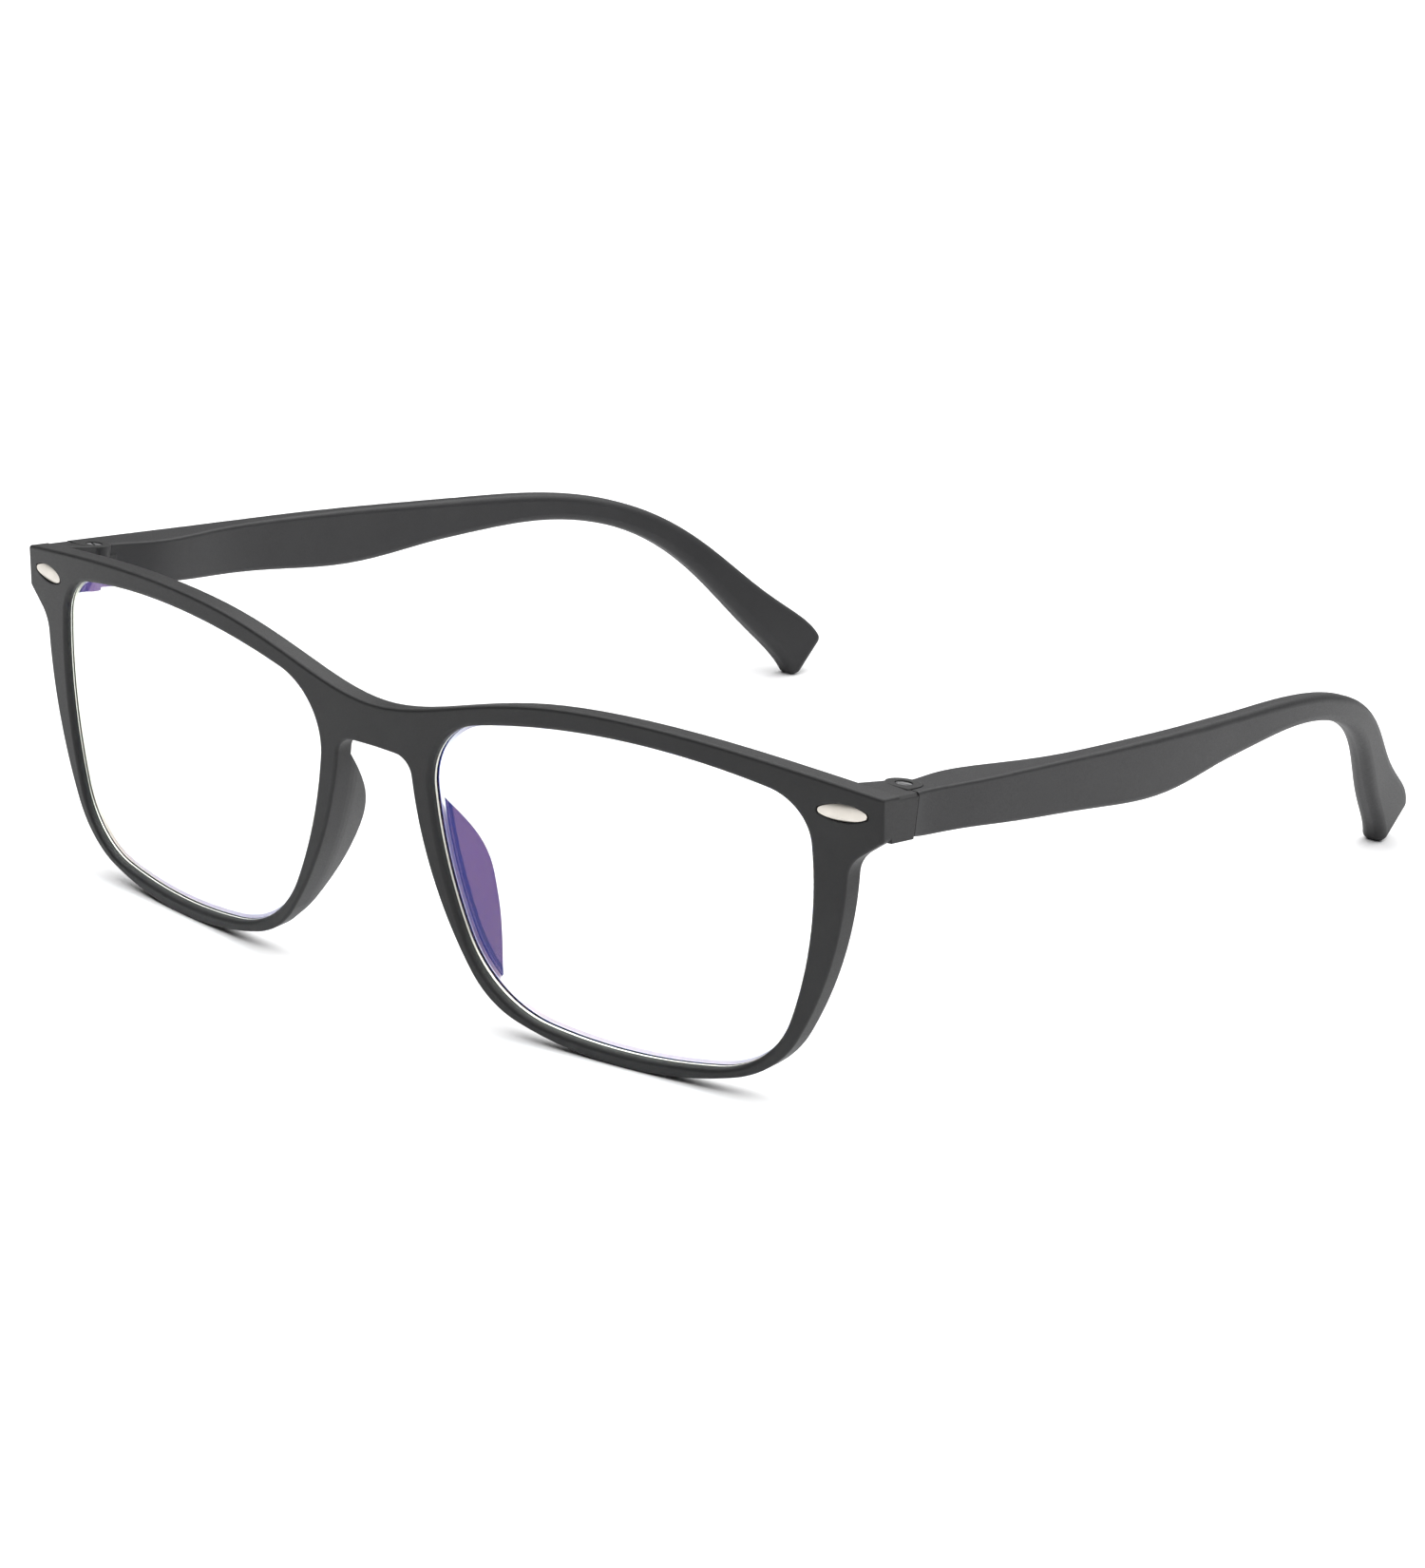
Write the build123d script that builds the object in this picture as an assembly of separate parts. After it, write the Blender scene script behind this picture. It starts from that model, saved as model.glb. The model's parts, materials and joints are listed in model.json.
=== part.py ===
from build123d import *
import math
import os

# Spectacles with a one-piece moulded front and two folding temples, standing open on a table.
# +X is to the right as seen from the front, the front faces -Y, the temples run back along +Y and
# the table is z = 0. Millimetres. "Left" and "right" are as seen from the front. The right-hand
# pieces are modelled and the left-hand ones are their mirror images.

# ---- the front ----------------------------------------------------------------------------------
# Drawn upright: x across, v up from the rim bottoms, w back from the front's foremost point.
FACE_RADIUS = 235.0        # curve of the front around the face
RIM_DEPTH = 2.9            # thickness of the front, front to back
FRONT_LEAN = 4.7           # degrees: the top of the front leans forward when it stands on a table
FRONT_FORWARD = 1.9
FRONT_DROP = -0.2
FRONT_EDGE = 0.35          # rounding of the edges round the front face, the back and the openings
BACK_EDGE = 0.45
OPENING_EDGE = 0.5

# The brow line seen along the temples, from the bridge out to the end piece, as (across, up).
# The top of the front falls towards the back as the temples do.
BROW_LINE = [(0, 37.5), (14, 40.4), (24, 42.75), (35, 43.75), (52, 43.2), (68.5, 41.25)]
BROW_STOCK = 46.0
END_CORNER = (68.5, 34.2, 0.6)     # lower corner of the end piece: across, up, corner radius
TEMPORAL_BEND = (64.35, 31.0, 4.0)
OUTER_LOW_CORNER = (55.8, 3.5, 13.0)
INNER_LOW_CORNER = (17.1, 3.5, 12.5)
ARCH_CORNER = (5.75, 31.8, 2.6)
TEMPORAL_RISE = 2.05               # how far each side bows out between its corners
BOTTOM_RISE = 3.7
NASAL_RISE = 2.3
ARCH_RISE = 0.25

# The lens opening, from its top outer corner round by the temporal side
OPENING_CORNERS = [(59.2, 37.4, 6.8), (54.9, 3.8, 11.6), (17.6, 3.9, 15.5), (8.6, 36.2, 8.9)]
OPENING_RISES = [2.6, 2.35, 2.5, 3.85]

LENS_THICKNESS = 1.8
LENS_RECESS = 1.0          # front of the rim to front of the lens
LENS_BEVEL = 0.35          # chamfer round the back of the lens
GROOVE_DEPTH = 0.5
GROOVE_WIDTH = 0.8
SEAT_GAP = 0.03            # between the lens and the rim that holds it

RIVET_CENTRE = (63.7, 37.1)
RIVET_LENGTH = 6.9           # between its points, before they are rounded
RIVET_TIP_RADIUS = 0.45
RIVET_HEIGHT = 2.1
RIVET_THICKNESS = 0.5
RIVET_PROUD = 0.02         # top of its dome below the front's face
RIVET_CROWN = 0.2          # how much the plate is domed
RIVET_MARGIN = 0.1         # gap round the plate in its pocket
RIVET_PIN_RADIUS = 0.4
RIVET_PIN_LENGTH = 1.2
RIVET_PIN_SPACING = 2.6

PAD_WALL = (1.6, 0.7)      # nasal side of the rim to the lens side of the pad, across and up
PAD_ROOT = 2.2             # the pads grow from inside the rim
PAD_BREAK = 3.0            # where their lean begins
PAD_BEND = [(0.8, 0.07), (0.8, 0.15), (8.0, 0.22)]     # stretches of it, each (length, lean)
# Outline of a nose pad seen from the side, as (back, up), from its top root to its bottom root
PAD_EDGE = [(2.6, 29.0), (4.1, 26.9), (6.1, 24.2), (7.9, 21.0), (8.5, 18.0), (8.2, 15.5),
            (7.4, 12.5), (6.2, 9.8), (4.7, 7.2), (2.6, 4.6)]

# ---- the hinge ----------------------------------------------------------------------------------
# Seen along the temple: x across, s back and h up from a point on the hinge axis level with the
# top of the temple. Distances across and back below are from the hinge axis.
TEMPLE_FALL = 5.0          # degrees: the temples fall towards the back
PIVOT_X = 65.1
PIVOT_Y = 17.0
OUTER_FACE = 3.4
BLOCK_INSIDE = -1.75       # inner face of the end piece
BLOCK_STEP = 0.05          # its outer top edge below the end of the brow
TOP_EDGE = 0.4             # rounding of the brow's ends, and bevel along the end piece behind them
BLOCK_TOP_RISE = 0.55      # the end piece is higher on its inner side, where it meets the brow
BLOCK_START = -11.0        # where the end piece starts, inside the front
BLOCK_TOP_BREAK = -6.5     # where that side starts to come down to the hinge
HINGE_TOP = 0.15
HINGE_BOTTOM = -5.45
SEAM = -1.6                # rear face of the end piece
SEAM_GAP = 0.10
SHOULDER = 1.9             # front of the temple on its inner side
TONGUE_TOP = -1.40
TONGUE_BOTTOM = -3.70
TONGUE_RADIUS = 2.0
LUG_RADIUS = 2.15
LUG_CLEARANCE = 0.06       # round the lugs and round the tongue
RUNNING_GAP = 0.05         # between the tongue and each lug

SCREW_RADIUS = 0.6
SCREW_HOLE_RADIUS = 0.65
HEAD_RADIUS = 1.0
HEAD_POCKET_RADIUS = 1.07
HEAD_HEIGHT = 0.6
HEAD_SUNK = 0.15
SLOT_WIDTH = 0.3
SLOT_DEPTH = 0.3
SLOT_TURN = 25.0           # degrees from straight across
INSERT_RADIUS = 1.1
INSERT_HEIGHT = 1.2
LUG_FLOOR = 0.3            # plastic left under the insert

# ---- the temple ---------------------------------------------------------------------------------
# Cross-sections from front to back: top edge (s, h), bottom edge (s, h), outer face from the
# centre line, thickness, corner radius
TEMPLE_SECTIONS = [
    ((-1.5, 0.0), (-1.5, -5.25), 68.5, 5.3, 0.35),
    ((9.0, 0.0), (9.0, -5.6), 68.5, 5.2, 0.35),
    ((17.0, 0.0), (17.0, -6.05), 68.5, 4.6, 0.4),
    ((26.0, 0.05), (26.0, -6.45), 68.4, 3.1, 0.45),
    ((36.0, 0.1), (36.0, -6.9), 68.3, 2.7, 0.5),
    ((47.0, 0.15), (47.0, -7.35), 67.9, 2.6, 0.6),
    ((56.0, 0.15), (56.0, -6.7), 67.3, 2.6, 0.7),
    ((66.0, 0.15), (65.5, -5.35), 66.4, 2.6, 0.8),
    ((78.0, 0.15), (77.5, -4.15), 65.2, 2.7, 0.9),
    ((90.0, -0.45), (88.5, -3.95), 63.8, 2.8, 1.0),
    ((101.0, -2.45), (98.5, -5.5), 62.1, 3.0, 1.1),
    ((110.2, -5.95), (107.0, -8.8), 60.0, 3.2, 1.2),
    ((118.2, -10.9), (114.4, -14.0), 57.5, 3.4, 1.3),
    ((126.0, -16.3), (121.3, -20.2), 55.0, 3.6, 1.3),
    ((135.4, -23.1), (130.1, -28.67), 52.2, 3.7, 1.3),
]
TIP_ROUNDING = 0.8

FAR = 100.0                # longer than anything it cuts


# ---- outlines -----------------------------------------------------------------------------------
def arc_between(start, end, rise):
    """Arc whose middle stands `rise` to the left of the straight line from start to end."""
    run = (end[0] - start[0], end[1] - start[1])
    length = math.hypot(*run)
    crown_x = (start[0] + end[0]) / 2 - run[1] / length * rise
    crown_v = (start[1] + end[1]) / 2 + run[0] / length * rise
    return ThreePointArc(start[:2], (crown_x, crown_v), end[:2])


def round_corners(face, corners):
    """Round each (across, up, radius) corner of a flat face."""
    for across, up, radius in corners:
        corner = face.vertices().sort_by_distance((across, up, 0))[0]
        face = fillet(corner, radius)
    return face


def opening_outline():
    edges = []
    for index, corner in enumerate(OPENING_CORNERS):
        following = OPENING_CORNERS[(index + 1) % len(OPENING_CORNERS)]
        edges.append(arc_between(corner, following, OPENING_RISES[index]))
    return round_corners(make_face(edges), OPENING_CORNERS)


def grown(outline, amount):
    """An outline of tangent arcs, made larger all round by the same amount."""
    middle = outline.center()
    edges = []
    for edge in outline.edges():
        points = []
        for place in (0, 0.5, 1):
            point = edge.position_at(place)
            outward = edge.tangent_at(place).cross(Vector(0, 0, 1))
            if outward.dot(point - middle) < 0:
                outward = -outward
            points.append(point + outward * amount)
        edges.append(ThreePointArc(*points))
    return make_face(edges)


def mirrored(corner):
    return (-corner[0],) + tuple(corner[1:])


def front_outline():
    """The front seen square on, below the brow line: end pieces, rims and bridge arch."""
    half = [
        (END_CORNER, TEMPORAL_BEND, 0),
        (TEMPORAL_BEND, OUTER_LOW_CORNER, TEMPORAL_RISE),
        (OUTER_LOW_CORNER, INNER_LOW_CORNER, BOTTOM_RISE),
        (INNER_LOW_CORNER, ARCH_CORNER, NASAL_RISE),
    ]
    top = (BROW_LINE[-1][0], BROW_STOCK)
    edges = [Line(mirrored(top), top)]
    edges.append(Line(top, END_CORNER[:2]))
    edges.append(Line(mirrored(top), mirrored(END_CORNER)[:2]))
    for start, end, rise in half:
        if rise == 0:
            edges.append(Line(start[:2], end[:2]))
            edges.append(Line(mirrored(start)[:2], mirrored(end)[:2]))
        else:
            edges.append(arc_between(start, end, rise))
            edges.append(arc_between(mirrored(start), mirrored(end), -rise))
    edges.append(arc_between(mirrored(ARCH_CORNER), ARCH_CORNER, ARCH_RISE))
    corners = [END_CORNER, TEMPORAL_BEND, OUTER_LOW_CORNER, INNER_LOW_CORNER, ARCH_CORNER]
    corners = corners + [mirrored(corner) for corner in corners]
    return round_corners(make_face(edges), corners)


def below_brow_outline():
    """Everything below the brow line, seen along the temples."""
    brow = [mirrored(point) for point in reversed(BROW_LINE[1:])] + BROW_LINE
    low = (BROW_LINE[-1][0], -FAR)
    sides = Polyline(brow[-1], low, mirrored(low), brow[0])
    ends = [(across, up, TOP_EDGE) for across, up in (brow[0], brow[-1])]
    return round_corners(make_face([Spline(*brow)] + sides.edges()), ends)


# ---- placing ------------------------------------------------------------------------------------
def upright(outline, start, depth, direction=(0, 1, 0)):
    """Extrude an outline drawn in (across, up) towards the back, from w = start."""
    face = Pos(0, start, 0) * Rot(X=90) * outline
    return extrude(face, amount=depth, dir=direction)


def shell(front_depth, back_depth):
    """The curved layer of the front between two depths behind its front face."""
    axis = Pos(0, FACE_RADIUS, 20)
    outside = axis * Cylinder(FACE_RADIUS - front_depth, 60)
    inside = axis * Cylinder(FACE_RADIUS - back_depth, 60)
    return outside - inside - Pos(0, FACE_RADIUS + 40, 20) * Box(600, FACE_RADIUS * 2, 80)


def front_depth_at(across):
    """How far the front's front face has curved back at this distance from the centre."""
    return FACE_RADIUS - math.sqrt(FACE_RADIUS ** 2 - across ** 2)


# The front's own frame, as it stands on the table
FRONT_FRAME = Pos(0, FRONT_FORWARD, FRONT_DROP) * Rot(X=FRONT_LEAN)
# Angle between the square-on view of the front and the direction of the temples
TEMPLE_DIP = math.radians(FRONT_LEAN + TEMPLE_FALL)


def pivot_height():
    """The top of the temple is level with the outer end of the brow."""
    across, up = BROW_LINE[-1]
    back = front_depth_at(across)
    brow_end = (FRONT_FRAME * Pos(across, back, up - back * math.tan(TEMPLE_DIP))).position
    return brow_end.Z - (PIVOT_Y - brow_end.Y) * math.tan(math.radians(TEMPLE_FALL))


# The hinge's own frame
HINGE_FRAME = Pos(PIVOT_X, PIVOT_Y, pivot_height()) * Rot(X=-TEMPLE_FALL)


def block(x_from, x_to, s_from, s_to, h_from, h_to):
    """A box between two corners, in the frame that it is drawn in."""
    size = (x_to - x_from, s_to - s_from, h_to - h_from)
    return Pos(x_from, s_from, h_from) * Box(*size, align=(Align.MIN, Align.MIN, Align.MIN))


def post(radius, h_from, h_to):
    """A cylinder round the hinge axis, in the hinge's frame."""
    upward = (Align.CENTER, Align.CENTER, Align.MIN)
    return Pos(0, 0, h_from) * Cylinder(radius, h_to - h_from, align=upward)


def both_sides(shape):
    """The right-hand shape and its mirror image."""
    return [shape, mirror(shape, Plane.YZ)]


def large_curved_face(front, side):
    """The front face (side = 0) or the back face (side = -1) of the front."""
    curved = front.faces().filter_by(lambda face: face.geom_type == GeomType.CYLINDER and face.area > 300)
    return curved.sort_by(Axis.Y)[side]


# ---- pieces of the front, in the front's own frame ----------------------------------------------
def in_front_frame(shape):
    """Take a shape drawn in the hinge's frame to the front's frame."""
    return FRONT_FRAME.inverse() * HINGE_FRAME * shape


def nose_pad(outline):
    """Wing of the right-hand nose pad: follows the nasal side of the rim and leans outward."""
    window = Rectangle(INNER_LOW_CORNER[0], ARCH_CORNER[1] - 1, align=(Align.MIN, Align.MIN))
    strip = (window & outline) - Pos(*PAD_WALL) * outline
    root = upright(strip, PAD_ROOT, PAD_BREAK - PAD_ROOT)
    wing = root
    start = PAD_BREAK
    sideways = 0
    for length, lean in PAD_BEND:
        wing = wing + Pos(sideways) * upright(strip, start, length * math.hypot(1, lean), (lean, 1, 0))
        start += length
        sideways += length * lean
    corners = [PAD_EDGE[-1], (PAD_ROOT, PAD_EDGE[-1][1]), (PAD_ROOT, PAD_EDGE[0][1]), PAD_EDGE[0]]
    profile = make_face([Spline(*PAD_EDGE)] + Polyline(*corners).edges())
    side_view = Rot(X=90) * Rot(Y=90) * profile
    return wing & extrude(side_view, amount=FAR, both=True)


def end_block():
    """The end piece behind the front, seen along the temple: deeper on top at its inner side."""
    sections = []
    stations = ((BLOCK_START, BLOCK_TOP_RISE), (BLOCK_TOP_BREAK, BLOCK_TOP_RISE), (SEAM, HINGE_TOP))
    for s, inner_top in stations:
        corners = [
            (OUTER_FACE, -BLOCK_STEP - TOP_EDGE),
            (OUTER_FACE - TOP_EDGE, -BLOCK_STEP),
            (BLOCK_INSIDE, inner_top),
            (BLOCK_INSIDE, HINGE_BOTTOM),
            (OUTER_FACE, HINGE_BOTTOM),
        ]
        outline = make_face(Polyline(*corners, close=True))
        sections.append(Pos(0, s, 0) * Rot(X=90) * outline)
    return loft(sections, ruled=True)


def lug(h_from, h_to):
    """One lug of the front's half of the hinge, with the neck that joins it to the end piece."""
    return post(LUG_RADIUS, h_from, h_to) + block(BLOCK_INSIDE, LUG_RADIUS, SEAM - 0.5, 0, h_from, h_to)


def hinge_cuts():
    """What the tongue, the screw and its insert take out of the end piece and the lugs."""
    slot = post(TONGUE_RADIUS + LUG_CLEARANCE, TONGUE_BOTTOM - RUNNING_GAP, TONGUE_TOP + RUNNING_GAP)
    head = post(HEAD_POCKET_RADIUS, HINGE_TOP - HEAD_SUNK - HEAD_HEIGHT, HINGE_TOP + 1)
    shank = post(SCREW_HOLE_RADIUS, HINGE_BOTTOM + LUG_FLOOR, HINGE_TOP)
    insert_top = HINGE_BOTTOM + LUG_FLOOR + INSERT_HEIGHT
    insert = post(INSERT_RADIUS, HINGE_BOTTOM + LUG_FLOOR, insert_top)
    return [slot, head, shank, insert]


def rivet_place():
    """Frame of a rivet on the front's curved face: x along the face, y into it, z up."""
    across, up = RIVET_CENTRE
    turn = math.degrees(math.asin(across / FACE_RADIUS))
    return Pos(across, front_depth_at(across), up) * Rot(Z=turn)


def rivet_outline(margin):
    half_length = RIVET_LENGTH / 2 + margin * RIVET_LENGTH / RIVET_HEIGHT
    half_height = RIVET_HEIGHT / 2 + margin
    upper = ThreePointArc((-half_length, 0), (0, half_height), (half_length, 0))
    lower = ThreePointArc((-half_length, 0), (0, -half_height), (half_length, 0))
    tips = [(side * half_length, 0, RIVET_TIP_RADIUS + margin) for side in (-1, 1)]
    return round_corners(make_face([upper, lower]), tips)


def rivet_pins(radius, length):
    pins = []
    for side in (-1, 1):
        foot = Pos(side * RIVET_PIN_SPACING / 2, 0, 0) * Rot(X=-90)
        upward = (Align.CENTER, Align.CENTER, Align.MIN)
        pins.append(foot * Cylinder(radius, RIVET_THICKNESS + length, align=upward))
    return pins


def rivet():
    """Eye-shaped plate, gently domed, on two pins."""
    crown_radius = (RIVET_HEIGHT ** 2 / 4 + RIVET_CROWN ** 2) / (2 * RIVET_CROWN)
    plate = upright(rivet_outline(0), RIVET_PROUD, RIVET_THICKNESS)
    dome = Pos(0, RIVET_PROUD + crown_radius, 0) * Rot(Y=90) * Cylinder(crown_radius, FAR)
    shape = plate & dome
    for pin in rivet_pins(RIVET_PIN_RADIUS, RIVET_PIN_LENGTH):
        shape = shape + (pin - Pos(0, RIVET_PROUD, 0) * block(-FAR, FAR, -FAR, RIVET_CROWN, -FAR, FAR))
    return rivet_place() * shape


def rivet_pocket():
    pocket = upright(rivet_outline(RIVET_MARGIN), -1, 1 + RIVET_PROUD + RIVET_THICKNESS + SEAT_GAP)
    for pin in rivet_pins(RIVET_PIN_RADIUS + SEAT_GAP, RIVET_PIN_LENGTH + RIVET_PROUD + SEAT_GAP):
        pocket = pocket + pin
    return rivet_place() * pocket


def front_frame():
    outline = front_outline()
    opening = opening_outline()
    body = upright(outline, -5, 40) & shell(0, RIM_DEPTH)
    along_temples = (0, math.cos(TEMPLE_DIP), -math.sin(TEMPLE_DIP))
    body = body & extrude(Rot(X=90) * below_brow_outline(), amount=40, dir=along_temples, both=True)
    for hole in both_sides(upright(opening, -5, 40)):
        body = body - hole
    behind_face = Pos(0, FACE_RADIUS, 20) * Cylinder(FACE_RADIUS - RIM_DEPTH / 2, FAR)
    for end_piece in both_sides(in_front_frame(end_block()) & behind_face):
        body = body + end_piece
    for side in (0, -1):
        rims = [wire.edges() for wire in large_curved_face(body, side).inner_wires()]
        body = fillet(rims[0] + rims[1], OPENING_EDGE)
    body = fillet(large_curved_face(body, 0).outer_wire().edges(), FRONT_EDGE)
    rear = large_curved_face(body, -1).outer_wire().edges()
    below_ends = rear.filter_by(lambda edge: edge.center().Z < TEMPORAL_BEND[1] + 0.9)
    body = fillet(below_ends.filter_by(lambda edge: abs(edge.center().X) < 64.9), BACK_EDGE)
    for pad in both_sides(nose_pad(outline)):
        body = body + pad
    lens_space = upright(opening, -5, 40) & shell(LENS_RECESS, RIM_DEPTH + 0.1)
    for space in both_sides(lens_space + lens_ridge(opening, GROOVE_DEPTH, 0)):
        body = body - space
    upper = lug(TONGUE_TOP + RUNNING_GAP, HINGE_TOP)
    lower = lug(HINGE_BOTTOM, TONGUE_BOTTOM - RUNNING_GAP)
    for lugs in both_sides(in_front_frame(upper + lower)):
        body = body + lugs
    for cut in hinge_cuts():
        for side in both_sides(in_front_frame(cut)):
            body = body - side
    for pocket in both_sides(rivet_pocket()):
        body = body - pocket
    return body


def lens_ridge(opening, height, gap):
    """Ridge round a lens, or the groove it sits in, at the middle of the lens's edge."""
    middle = LENS_RECESS + LENS_THICKNESS / 2
    half = GROOVE_WIDTH / 2 - gap
    return upright(grown(opening, height), -5, 40) & shell(middle - half, middle + half)


def lens():
    opening = opening_outline()
    body = upright(grown(opening, -SEAT_GAP), -5, 40)
    body = body & shell(LENS_RECESS, LENS_RECESS + LENS_THICKNESS)
    back = body.faces().filter_by(GeomType.CYLINDER).sort_by(SortBy.AREA)[-2:].sort_by(Axis.Y)[-1]
    body = chamfer(back.edges(), LENS_BEVEL)
    return body + lens_ridge(opening, GROOVE_DEPTH - SEAT_GAP, SEAT_GAP)


# ---- pieces of the hinge and the temples, in the hinge's frame ----------------------------------
def hinge_screw():
    head_top = HINGE_TOP - HEAD_SUNK
    head = post(HEAD_RADIUS, head_top - HEAD_HEIGHT, head_top)
    half_slot = SLOT_WIDTH / 2
    slot = block(-FAR, FAR, -half_slot, half_slot, head_top - SLOT_DEPTH, FAR)
    shank_end = HINGE_BOTTOM + LUG_FLOOR + 0.1
    return head - Rot(Z=SLOT_TURN) * slot + post(SCREW_RADIUS, shank_end, head_top - HEAD_HEIGHT)


def hinge_insert():
    foot = HINGE_BOTTOM + LUG_FLOOR
    ring = post(INSERT_RADIUS - SEAT_GAP, foot, foot + INSERT_HEIGHT - SEAT_GAP)
    return ring - post(SCREW_RADIUS + SEAT_GAP, foot, foot + INSERT_HEIGHT)


def temple_section(top, bottom, outer, thickness, corner_radius):
    """Rounded rectangle across the temple between a point on its top and one on its bottom edge."""
    middle = ((top[0] + bottom[0]) / 2, (top[1] + bottom[1]) / 2)
    upward = Vector(0, top[0] - bottom[0], top[1] - bottom[1])
    across = outer - thickness / 2 - PIVOT_X
    plane = Plane(origin=(across, *middle), x_dir=(1, 0, 0), z_dir=Vector(1, 0, 0).cross(upward))
    return plane * RectangleRounded(thickness, upward.length, corner_radius)


def temple():
    body = loft([temple_section(*section) for section in TEMPLE_SECTIONS])
    tip = body.faces().sort_by(Axis.Y)[-1]
    body = fillet(tip.edges(), TIP_ROUNDING)
    front_end = SEAM + SEAM_GAP
    clear = LUG_RADIUS + LUG_CLEARANCE
    body = body - block(-FAR, FAR, -FAR, front_end, -FAR, FAR)
    body = body - post(clear, -FAR, FAR)
    body = body - block(-FAR, clear, -FAR, 0, -FAR, FAR)
    body = body - block(-FAR, 0, -FAR, SHOULDER, -FAR, FAR)
    root = block(-LUG_RADIUS / 2, OUTER_FACE - 0.6, 0, clear + 1, TONGUE_BOTTOM, TONGUE_TOP)
    root = root + block(0, OUTER_FACE - 0.6, front_end, 1, TONGUE_BOTTOM, TONGUE_TOP)
    body = body + root + post(TONGUE_RADIUS, TONGUE_BOTTOM, TONGUE_TOP)
    return body - post(SCREW_HOLE_RADIUS, TONGUE_BOTTOM, TONGUE_TOP)


# ---- assembly -----------------------------------------------------------------------------------
def assemble():
    """Every piece, standing on the table, by name."""
    pieces = {"front_frame": FRONT_FRAME * front_frame()}
    right_hand = {
        "lens": FRONT_FRAME * lens(),
        "rivet": FRONT_FRAME * rivet(),
        "hinge_screw": HINGE_FRAME * hinge_screw(),
        "hinge_insert": HINGE_FRAME * hinge_insert(),
        "temple": HINGE_FRAME * temple(),
    }
    for name, shape in right_hand.items():
        right, left = both_sides(shape)
        pieces[name + "_right"] = right
        pieces[name + "_left"] = left
    return pieces


pieces = assemble()
boxes = [shape.bounding_box() for shape in pieces.values()]
middle_y = (min(box.min.Y for box in boxes) + max(box.max.Y for box in boxes)) / 2
on_table = Pos(0, -middle_y, -min(box.min.Z for box in boxes))
os.makedirs("parts", exist_ok=True)
for name, shape in pieces.items():
    export_step(on_table * shape, "parts/" + name + ".step")
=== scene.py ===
import json
import math

import bpy
from mathutils import Matrix, Vector


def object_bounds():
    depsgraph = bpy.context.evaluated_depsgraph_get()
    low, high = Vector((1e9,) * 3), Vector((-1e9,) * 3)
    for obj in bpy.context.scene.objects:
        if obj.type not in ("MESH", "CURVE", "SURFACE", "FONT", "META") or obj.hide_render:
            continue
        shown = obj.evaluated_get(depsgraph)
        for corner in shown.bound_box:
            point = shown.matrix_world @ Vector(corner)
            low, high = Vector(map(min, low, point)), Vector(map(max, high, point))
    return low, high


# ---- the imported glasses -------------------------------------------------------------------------
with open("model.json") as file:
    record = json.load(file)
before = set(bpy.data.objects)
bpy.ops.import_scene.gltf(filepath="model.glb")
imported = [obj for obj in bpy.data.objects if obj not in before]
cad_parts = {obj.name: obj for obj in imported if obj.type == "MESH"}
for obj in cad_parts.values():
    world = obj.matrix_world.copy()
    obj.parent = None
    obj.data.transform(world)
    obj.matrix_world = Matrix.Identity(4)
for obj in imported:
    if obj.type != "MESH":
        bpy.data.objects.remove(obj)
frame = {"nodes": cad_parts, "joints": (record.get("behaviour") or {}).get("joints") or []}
cad_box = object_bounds()
nodes = frame["nodes"]
scene = bpy.context.scene


# ---- shader helpers -----------------------------------------------------------------------------
def new_material(name):
    """A node material with its Principled shader; returns (material, nodes, links, shader)."""
    material = bpy.data.materials.new(name)
    material.use_nodes = True
    tree = material.node_tree
    return material, tree.nodes, tree.links, tree.nodes["Principled BSDF"]


def noise(tree_nodes, links, coordinate, scale, detail=3.0, roughness=0.55):
    node = tree_nodes.new("ShaderNodeTexNoise")
    node.inputs["Scale"].default_value = scale
    node.inputs["Detail"].default_value = detail
    node.inputs["Roughness"].default_value = roughness
    links.new(coordinate, node.inputs["Vector"])
    return node.outputs["Fac"]


def object_coordinate(tree_nodes):
    return tree_nodes.new("ShaderNodeTexCoord").outputs["Object"]


def ramp(tree_nodes, links, value, low, high, from_range=(0.0, 1.0)):
    """Map a value to between low and high, both numbers, clamped."""
    node = tree_nodes.new("ShaderNodeMapRange")
    node.inputs["From Min"].default_value = from_range[0]
    node.inputs["From Max"].default_value = from_range[1]
    node.inputs["To Min"].default_value = low
    node.inputs["To Max"].default_value = high
    links.new(value, node.inputs["Value"])
    return node.outputs["Result"]


def colour_between(tree_nodes, links, value, dark, light):
    node = tree_nodes.new("ShaderNodeMix")
    node.data_type = "RGBA"
    node.inputs["A"].default_value = (*dark, 1.0)
    node.inputs["B"].default_value = (*light, 1.0)
    links.new(value, node.inputs["Factor"])
    return node.outputs["Result"]


def bump(tree_nodes, links, height, distance, strength=1.0, normal=None):
    node = tree_nodes.new("ShaderNodeBump")
    node.inputs["Distance"].default_value = distance
    node.inputs["Strength"].default_value = strength
    links.new(height, node.inputs["Height"])
    if normal is not None:
        links.new(normal, node.inputs["Normal"])
    return node.outputs["Normal"]


# ---- materials ----------------------------------------------------------------------------------
LENS_AXIS = (0.0, 1.0, 0.08)               # square to the lenses, which lean a little
COATING_TINT = (0.4, 0.25, 0.72, 1.0)
COATING_THICKNESS = 158.0                  # nanometres
COATING_IOR = 2.0
PLASTIC_IOR = 1.42
LENS_IOR = 1.5


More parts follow.
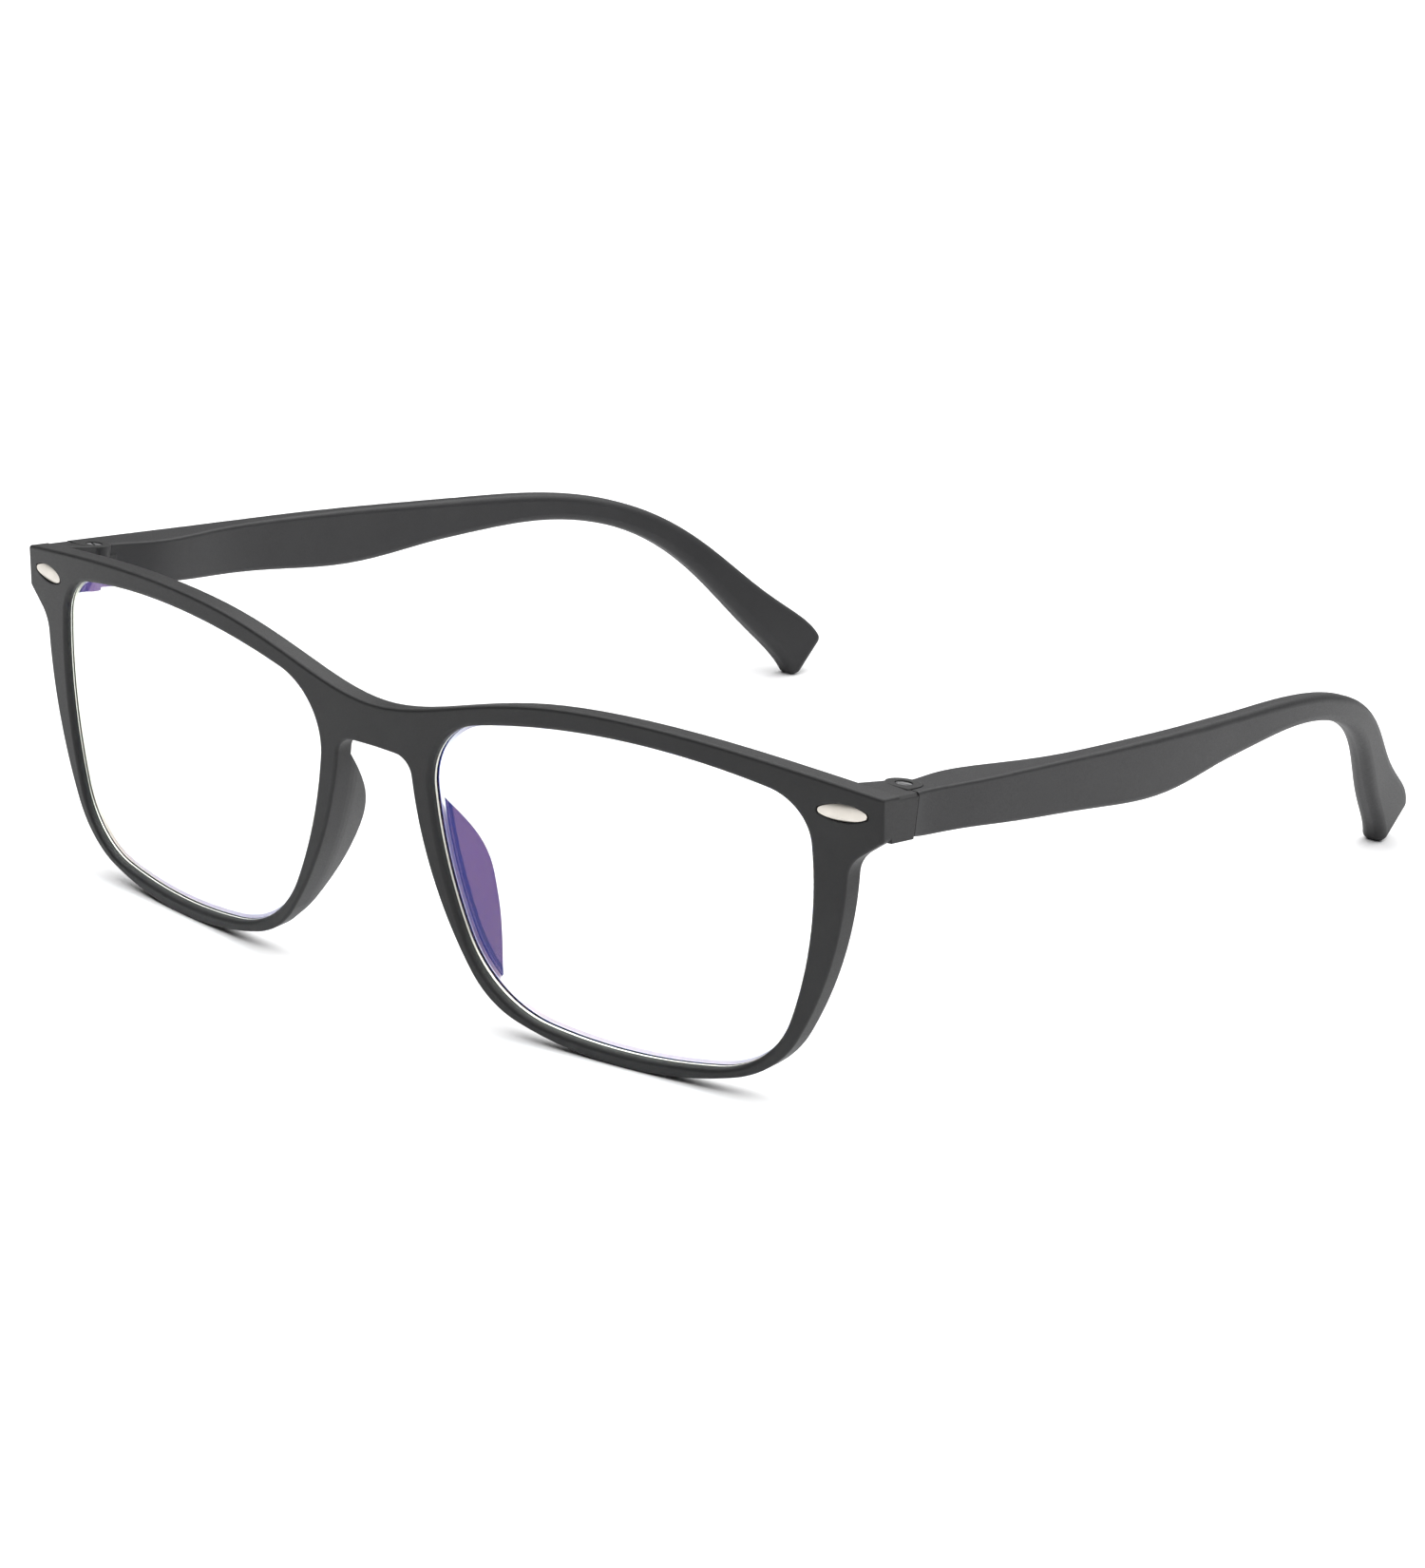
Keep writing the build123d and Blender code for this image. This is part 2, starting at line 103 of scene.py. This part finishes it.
def soft_touch_plastic(name, dark, light, edge_radius):
    """Charcoal moulded plastic with a fine matte texture and slightly eased edges."""
    material, tree_nodes, links, shader = new_material(name)
    place = object_coordinate(tree_nodes)
    cloud = noise(tree_nodes, links, place, 140.0, 4.0)
    grain = noise(tree_nodes, links, place, 7000.0, 2.0, 0.6)
    orange_peel = noise(tree_nodes, links, place, 900.0, 2.0, 0.5)
    tint = ramp(tree_nodes, links, cloud, 0.0, 1.0, (0.3, 0.7))
    links.new(colour_between(tree_nodes, links, tint, dark, light), shader.inputs["Base Color"])
    links.new(ramp(tree_nodes, links, grain, 0.46, 0.6, (0.3, 0.7)), shader.inputs["Roughness"])
    shader.inputs["IOR"].default_value = PLASTIC_IOR
    shader.inputs["Sheen Weight"].default_value = 0.04
    shader.inputs["Sheen Roughness"].default_value = 0.4
    edge = tree_nodes.new("ShaderNodeBevel")
    edge.samples = 6
    edge.inputs["Radius"].default_value = edge_radius
    peel = bump(tree_nodes, links, orange_peel, 0.00001, 0.5, edge.outputs["Normal"])
    links.new(bump(tree_nodes, links, grain, 0.000008, 0.6, peel), shader.inputs["Normal"])
    return material


def plated_metal(name, colour, roughness):
    """Bright plating with fine polishing marks along the piece."""
    material, tree_nodes, links, shader = new_material(name)
    place = object_coordinate(tree_nodes)
    stretch = tree_nodes.new("ShaderNodeMapping")
    stretch.inputs["Scale"].default_value = (1.0, 1.0, 9.0)
    links.new(place, stretch.inputs["Vector"])
    marks = noise(tree_nodes, links, stretch.outputs["Vector"], 1500.0, 3.0)
    haze = noise(tree_nodes, links, place, 700.0, 3.0)
    shade = colour_between(tree_nodes, links, haze, [0.8 * part for part in colour], colour)
    links.new(shade, shader.inputs["Base Color"])
    shader.inputs["Metallic"].default_value = 1.0
    links.new(ramp(tree_nodes, links, marks, roughness, roughness + 0.12), shader.inputs["Roughness"])
    links.new(bump(tree_nodes, links, marks, 0.000004, 0.6), shader.inputs["Normal"])
    return material


def coated_lens(name):
    """Clear resin with a violet-blue anti-reflection coating; its edge and bevel are frosted."""
    material, tree_nodes, links, shader = new_material(name)
    place = object_coordinate(tree_nodes)
    smear = noise(tree_nodes, links, place, 60.0, 3.0)
    # The polished faces point forward or back; the ground edge and the bevel point sideways
    facing = tree_nodes.new("ShaderNodeVectorMath")
    facing.operation = "DOT_PRODUCT"
    geometry = tree_nodes.new("ShaderNodeNewGeometry")
    links.new(geometry.outputs["Normal"], facing.inputs[0])
    facing.inputs[1].default_value = LENS_AXIS
    square_on = tree_nodes.new("ShaderNodeMath")
    square_on.operation = "ABSOLUTE"
    links.new(facing.outputs["Value"], square_on.inputs[0])
    edge = ramp(tree_nodes, links, square_on.outputs["Value"], 1.0, 0.0, (0.82, 0.9))
    polish = ramp(tree_nodes, links, smear, 0.0, 0.02)
    roughness = tree_nodes.new("ShaderNodeMix")
    links.new(edge, roughness.inputs["Factor"])
    links.new(polish, roughness.inputs["A"])
    roughness.inputs["B"].default_value = 0.45
    links.new(roughness.outputs["Result"], shader.inputs["Roughness"])
    body = colour_between(tree_nodes, links, edge, (0.985, 0.99, 0.995), (0.93, 0.94, 0.95))
    links.new(body, shader.inputs["Base Color"])
    shader.inputs["IOR"].default_value = LENS_IOR
    shader.inputs["Transmission Weight"].default_value = 1.0
    shader.inputs["Specular Tint"].default_value = COATING_TINT
    shader.inputs["Thin Film Thickness"].default_value = COATING_THICKNESS
    shader.inputs["Thin Film IOR"].default_value = COATING_IOR
    # Lamps shine through the lens
    lamp = tree_nodes.new("ShaderNodeLightPath")
    clear = tree_nodes.new("ShaderNodeBsdfTransparent")
    clear.inputs["Color"].default_value = (0.9, 0.93, 0.96, 1.0)
    mix = tree_nodes.new("ShaderNodeMixShader")
    links.new(lamp.outputs["Is Shadow Ray"], mix.inputs["Fac"])
    links.new(shader.outputs["BSDF"], mix.inputs[1])
    links.new(clear.outputs["BSDF"], mix.inputs[2])
    links.new(mix.outputs["Shader"], tree_nodes["Material Output"].inputs["Surface"])
    return material


def pale_floor(name):
    material, tree_nodes, links, shader = new_material(name)
    place = object_coordinate(tree_nodes)
    paper = noise(tree_nodes, links, place, 30.0, 4.0)
    shade = colour_between(tree_nodes, links, paper, (0.9, 0.9, 0.905), (0.93, 0.93, 0.935))
    links.new(shade, shader.inputs["Base Color"])
    shader.inputs["Roughness"].default_value = 0.7
    shader.inputs["Specular IOR Level"].default_value = 0.2
    return material


FRONT_DARK = (0.0075, 0.0075, 0.008)
FRONT_LIGHT = (0.011, 0.011, 0.0115)
# Painted light: the temple tones are a little lighter than the front's, standing in for the extra
# overhead light the temples catch. The spread from dark to light within each pair is random cloudy
# tone.
TEMPLE_DARK = (0.0095, 0.0095, 0.0105)
TEMPLE_LIGHT = (0.013, 0.013, 0.014)
front_plastic = soft_touch_plastic("front_plastic", FRONT_DARK, FRONT_LIGHT, 0.00025)
temple_plastic = soft_touch_plastic("temple_plastic", TEMPLE_DARK, TEMPLE_LIGHT, 0.0002)
lens_resin = coated_lens("lens_resin")
rivet_plate = plated_metal("rivet_plate", (0.62, 0.585, 0.53), 0.26)
screw_steel = plated_metal("screw_steel", (0.6, 0.6, 0.61), 0.28)
insert_brass = plated_metal("insert_brass", (0.75, 0.55, 0.27), 0.3)

finishes = {
    "front_frame": front_plastic,
    "temple": temple_plastic,
    "lens": lens_resin,
    "rivet": rivet_plate,
    "hinge_screw": screw_steel,
    "hinge_insert": insert_brass,
}
for name, node in nodes.items():
    finish = finishes[name.replace("_right", "").replace("_left", "")]
    for index in range(len(node.material_slots)):
        node.material_slots[index].material = finish

# ---- floor --------------------------------------------------------------------------------------
FLOOR_HALF = 6.0
floor_mesh = bpy.data.meshes.new("floor")
floor_height = cad_box[0][2]
corners = [(-1, -1), (1, -1), (1, 1), (-1, 1)]
floor_points = [(FLOOR_HALF * x, FLOOR_HALF * y, floor_height) for x, y in corners]
floor_mesh.from_pydata(floor_points, [], [(0, 1, 2, 3)])
floor = bpy.data.objects.new("floor", floor_mesh)
scene.collection.objects.link(floor)
floor_mesh.materials.append(pale_floor("pale_floor"))


# ---- light --------------------------------------------------------------------------------------
LAMP_PLACE = Vector((0.05, 0.15, 0.9))
LAMP_TARGET = Vector((0.0, 0.0, 0.02))
LAMP_SIZE = 2.2
LAMP_ENERGY = 42.0

light = bpy.data.lights.new("overhead", "AREA")
light.shape = "SQUARE"
light.size = LAMP_SIZE
light.energy = LAMP_ENERGY
lamp = bpy.data.objects.new("overhead", light)
lamp.location = LAMP_PLACE
lamp.rotation_euler = (LAMP_TARGET - LAMP_PLACE).to_track_quat("-Z", "Y").to_euler()
scene.collection.objects.link(lamp)

world = bpy.data.worlds.new("studio")
world.use_nodes = True
# The room is brighter overhead and behind the glasses than in front of them
BRIGHT_DIRECTION = (0.2, 0.6, 0.77)
sky = world.node_tree
bright_side = sky.nodes.new("ShaderNodeVectorMath")
bright_side.operation = "DOT_PRODUCT"
sky.links.new(sky.nodes.new("ShaderNodeTexCoord").outputs["Generated"], bright_side.inputs[0])
bright_side.inputs[1].default_value = BRIGHT_DIRECTION
strength = ramp(sky.nodes, sky.links, bright_side.outputs["Value"], 0.25, 1.15, (-0.6, 0.8))
sky.links.new(strength, sky.nodes["Background"].inputs["Strength"])
scene.world = world

# ---- camera -------------------------------------------------------------------------------------
AZIMUTH = math.radians(38.43)
ELEVATION = math.radians(18.02)
ROLL = math.radians(3.10)
DISTANCE = 0.6525
HINGE = Vector(frame["joints"][0]["pos_m"])
TARGET = HINGE + Vector((-0.0458, 0.0230, -0.01637))      # from the right hinge
FOCAL_LENGTH = 122.5
SENSOR_WIDTH = 36.0

flat = math.cos(ELEVATION)
away = Vector((math.sin(AZIMUTH) * flat, -math.cos(AZIMUTH) * flat, math.sin(ELEVATION)))
level_right = Vector((0, 0, 1)).cross(away).normalized()
level_up = away.cross(level_right)
right = math.cos(ROLL) * level_right + math.sin(ROLL) * level_up
up = math.cos(ROLL) * level_up - math.sin(ROLL) * level_right
camera_data = bpy.data.cameras.new("camera")
camera_data.sensor_fit = "AUTO"
camera_data.sensor_width = SENSOR_WIDTH
camera_data.lens = FOCAL_LENGTH
camera_data.clip_start = 0.01
camera = bpy.data.objects.new("camera", camera_data)
turn = Matrix((right, up, away)).transposed().to_4x4()
camera.matrix_world = Matrix.Translation(TARGET + DISTANCE * away) @ turn
scene.collection.objects.link(camera)
scene.camera = camera

scene.view_settings.view_transform = "Standard"
